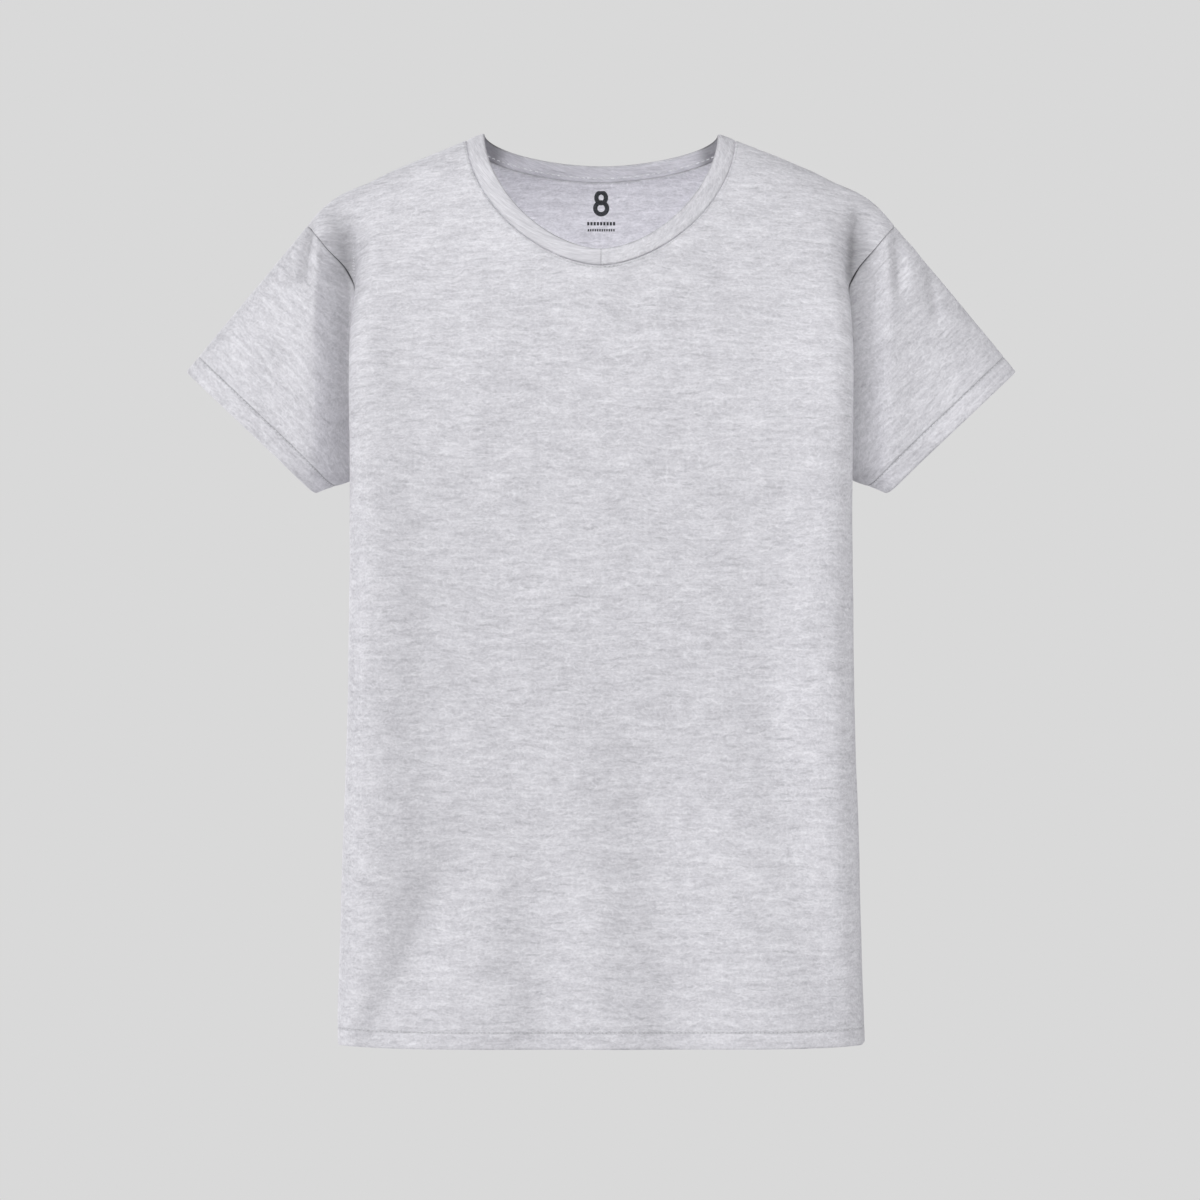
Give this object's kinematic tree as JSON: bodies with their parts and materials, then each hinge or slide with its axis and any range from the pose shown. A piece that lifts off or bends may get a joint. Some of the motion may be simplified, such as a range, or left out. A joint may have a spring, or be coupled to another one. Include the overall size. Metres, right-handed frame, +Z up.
{
  "type": "crew neck t-shirt",
  "caption": "Short-sleeved crew neck t-shirt in pale grey heather jersey, standing out hollow as worn, open at neck, hem and cuffs.",
  "frame": {"origin": "midway between the two neck points, at the top of the shoulders where the wearer carries the shirt", "axes": "+Z up along the shirt's length, the front faces -Y, +X towards the wearer's left sleeve"},
  "size_m": [0.6364, 0.1628, 0.7006],
  "materials": {
    "heather_jersey": "soft matte heather cotton jersey",
    "band_jersey": "soft matte heather cotton jersey, folded double"
  },
  "bodies": {
    "root": {"front_panel": "heather_jersey", "back_panel": "heather_jersey", "sleeve_left": "heather_jersey", "sleeve_right": "heather_jersey", "neck_band": "band_jersey"}
  },
  "joints": []
}
